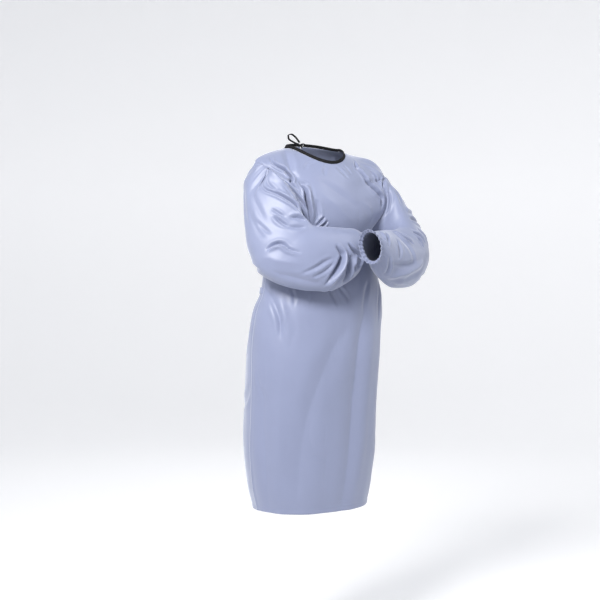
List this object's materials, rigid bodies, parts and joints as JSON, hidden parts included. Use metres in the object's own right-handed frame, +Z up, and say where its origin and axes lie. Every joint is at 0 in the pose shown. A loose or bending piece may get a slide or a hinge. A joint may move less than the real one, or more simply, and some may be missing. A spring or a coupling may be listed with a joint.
{
  "type": "barrier gown",
  "caption": "Long-sleeved barrier gown worn with folded arms: hollow cloth body, wide sleeves gathered at the wrist, dark neck binding, back opening with neck and waist ties",
  "frame": {"origin": "middle of the neck opening, at the height of the shoulder seams' inner ends", "axes": "+Z up along the wearer's back, -Y the way the wearer faces, +X to the wearer's left"},
  "size_m": [0.5549, 0.4605, 1.0645],
  "materials": {
    "gown_cloth": "smooth, soft sheen",
    "neck_tape": "matt"
  },
  "bodies": {
    "root": {"front_panel": "gown_cloth", "back_left_panel": "gown_cloth", "back_right_panel": "gown_cloth", "sleeve_right": "gown_cloth", "sleeve_left": "gown_cloth", "neck_binding": "neck_tape", "neck_tie_knot": "neck_tape", "neck_tie_loop_right": "neck_tape", "neck_tie_loop_left": "neck_tape", "neck_tie_end_right": "neck_tape", "neck_tie_end_left": "neck_tape", "waist_strap_left": "gown_cloth", "waist_strap_right": "gown_cloth", "waist_tie_knot": "gown_cloth", "waist_tie_loop_left": "gown_cloth", "waist_tie_loop_right": "gown_cloth", "waist_tie_end_left": "gown_cloth", "waist_tie_end_right": "gown_cloth"}
  },
  "joints": []
}
